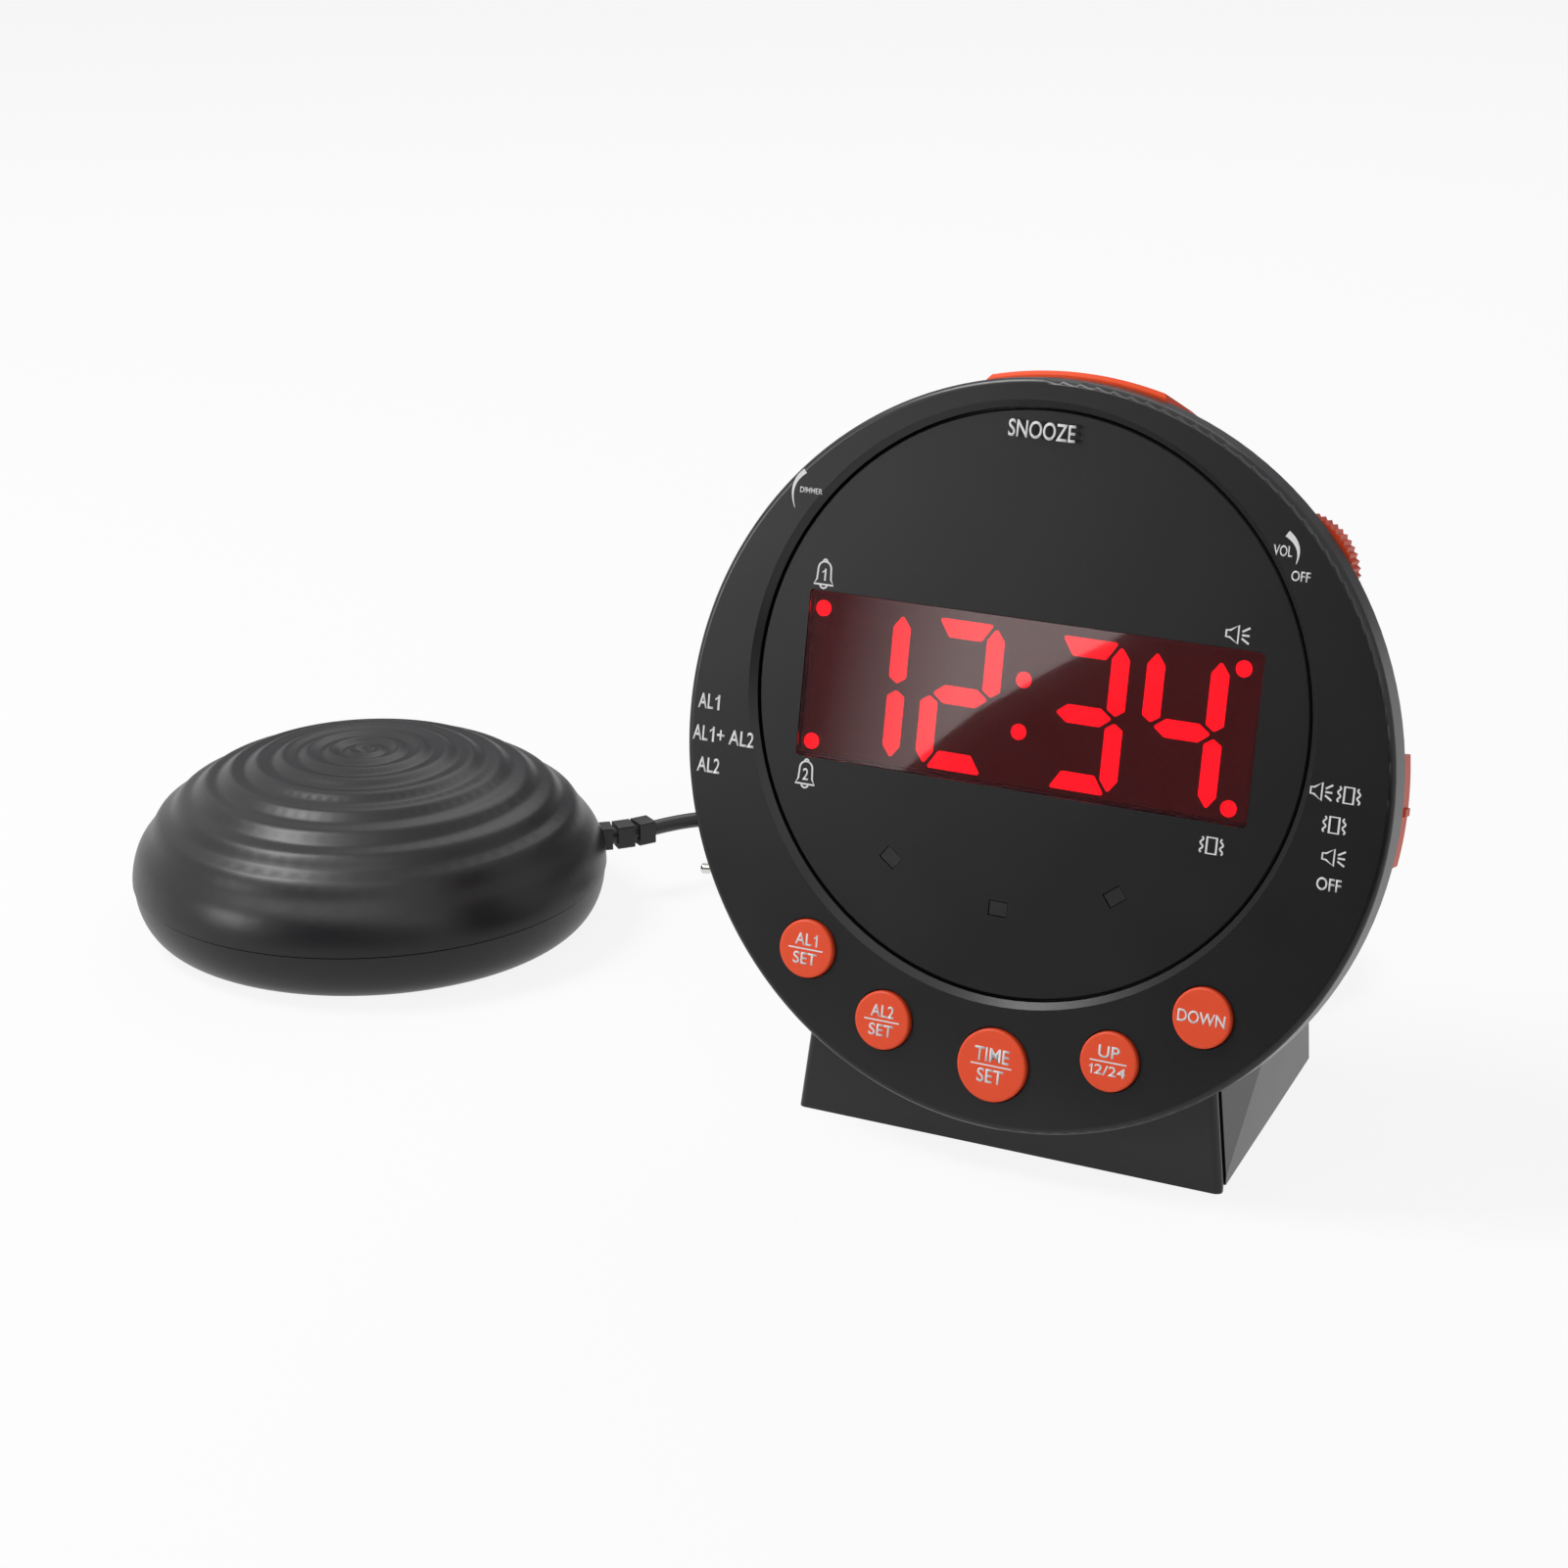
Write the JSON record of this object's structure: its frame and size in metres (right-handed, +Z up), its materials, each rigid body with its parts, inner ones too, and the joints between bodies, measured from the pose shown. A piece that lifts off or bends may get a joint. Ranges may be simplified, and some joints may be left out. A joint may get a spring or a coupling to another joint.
{
  "type": "bed shaker alarm clock",
  "caption": "Round digital alarm clock on a wedge stand, with orange buttons and snooze bar, thumb wheels and side sliders, and a ribbed round pillow shaker on a black cord with a plug",
  "frame": {"origin": "On the table, in the middle of the clock stand's foot pad", "axes": "+Z up, +X to the right seen from the front, the clock faces -Y, and the shaker lies on its -X side"},
  "size_m": [0.3037, 0.1448, 0.1504],
  "materials": {
    "black_shell": "fine satin black moulding",
    "black_panel": "fine satin black moulding",
    "window": "dark red transparent plastic",
    "display_dark": "dark red display body",
    "lit_red": "lit red segments",
    "marker_red": "lit red lamps",
    "lamp_dark": "dark clear lamps",
    "board": "green circuit board",
    "speaker_grey": "speaker frame and cone",
    "switch_black": "moulded control bodies",
    "orange_snooze": "orange satin moulding",
    "orange_button": "orange satin moulding",
    "screw_steel": "plated steel",
    "foot_rubber": "soft black rubber",
    "cell_skin": "wrapped dry cells",
    "contact_steel": "sprung contacts",
    "puck_shell": "soft satin black moulding",
    "motor_can": "plated motor can",
    "weight_metal": "sintered brass",
    "cord_black": "smooth black cord jacket",
    "tie_black": "flat black strap",
    "plug_nickel": "nickel plated plug"
  },
  "bodies": {
    "root": {"front_bezel": "black_shell", "face_panel": "black_panel", "display_window": "window", "display_block": "display_dark", "lit_segments": "lit_red", "indicator_leds": "marker_red", "alert_leds": "lamp_dark", "main_board": "board", "rear_housing": "black_shell", "speaker": "speaker_grey", "volume_pot": "switch_black", "dimmer_pot": "switch_black", "mode_switch": "switch_black", "selector_switch": "switch_black", "snooze_switch": "switch_black", "tact_switches": "switch_black", "case_screws": "screw_steel", "stand_shell": "black_shell", "stand_front_plate": "black_shell", "stand_base": "black_shell", "base_pad": "foot_rubber", "base_screws": "screw_steel", "stand_screws": "screw_steel", "dc_jack": "switch_black", "shaker_jack": "switch_black", "battery_cells": "cell_skin", "battery_contacts": "contact_steel", "shaker_top_shell": "puck_shell", "shaker_bottom_shell": "puck_shell", "shaker_feet": "foot_rubber", "shaker_screws": "screw_steel", "shaker_motor": "motor_can", "motor_clamp": "switch_black", "clamp_screws": "screw_steel", "shaker_strain_relief": "cord_black", "cord_shaker_run": "cord_black", "cord_coil": "cord_black", "cord_plug_run": "cord_black", "cord_tie": "tie_black", "plug_sleeve": "cord_black", "plug_pin": "plug_nickel"},
    "snooze_bar": {"snooze_bar": "orange_snooze"},
    "volume_wheel": {"volume_wheel": "orange_button"},
    "dimmer_wheel": {"dimmer_wheel": "orange_button"},
    "mode_slider": {"mode_slider": "orange_button"},
    "alarm_selector": {"alarm_selector": "orange_button"},
    "battery_door": {"battery_door": "black_shell"},
    "shaker_rotor": {"motor_shaft": "screw_steel", "eccentric_weight": "weight_metal"},
    "alarm_1_button": {"alarm_1_button": "orange_button"},
    "alarm_2_button": {"alarm_2_button": "orange_button"},
    "time_button": {"time_button": "orange_button"},
    "up_button": {"up_button": "orange_button"},
    "down_button": {"down_button": "orange_button"}
  },
  "joints": [
    {"name": "alarm_1_press", "type": "slide", "parent": "root", "child": "alarm_1_button", "axis": [0, 0.9763, -0.2164], "range_m": [0, 0.0005], "stiffness_N_per_m": 1500, "springref_m": -0.0003},
    {"name": "alarm_2_press", "type": "slide", "parent": "root", "child": "alarm_2_button", "axis": [0, 0.9763, -0.2164], "range_m": [0, 0.0005], "stiffness_N_per_m": 1500, "springref_m": -0.0003},
    {"name": "time_press", "type": "slide", "parent": "root", "child": "time_button", "axis": [0, 0.9763, -0.2164], "range_m": [0, 0.0005], "stiffness_N_per_m": 1500, "springref_m": -0.0003},
    {"name": "up_press", "type": "slide", "parent": "root", "child": "up_button", "axis": [0, 0.9763, -0.2164], "range_m": [0, 0.0005], "stiffness_N_per_m": 1500, "springref_m": -0.0003},
    {"name": "down_press", "type": "slide", "parent": "root", "child": "down_button", "axis": [0, 0.9763, -0.2164], "range_m": [0, 0.0005], "stiffness_N_per_m": 1500, "springref_m": -0.0003},
    {"name": "snooze_press", "type": "slide", "parent": "root", "child": "snooze_bar", "axis": [0, -0.2164, -0.9763], "range_m": [0, 0.002], "stiffness_N_per_m": 600, "springref_m": -0.001},
    {"name": "volume_turn", "type": "hinge", "parent": "root", "child": "volume_wheel", "pos_m": [0.04693, -0.0103, 0.11763], "axis": [0, 0.9763, -0.2164], "range_deg": [-135, 135]},
    {"name": "dimmer_turn", "type": "hinge", "parent": "root", "child": "dimmer_wheel", "pos_m": [-0.04393, -0.0103, 0.11763], "axis": [0, 0.9763, -0.2164], "range_deg": [-135, 135]},
    {"name": "mode_slide", "type": "hinge", "parent": "root", "child": "mode_slider", "pos_m": [0.0015, -0.01881, 0.07805], "axis": [0, 0.9763, -0.2164], "range_deg": [0, 13.8]},
    {"name": "selector_slide", "type": "hinge", "parent": "root", "child": "alarm_selector", "pos_m": [0.0015, -0.01881, 0.07805], "axis": [0, -0.9763, 0.2164], "range_deg": [0, 10.1]},
    {"name": "battery_door_turn", "type": "hinge", "parent": "root", "child": "battery_door", "pos_m": [0.0015, 0.0021, 0.043], "axis": [-1, 0, 0], "range_deg": [0, 90]},
    {"name": "rotor_spin", "type": "hinge", "parent": "root", "child": "shaker_rotor", "pos_m": [-0.1767, 0.0033, 0.017], "axis": [0, -1, 0], "continuous": true}
  ]
}
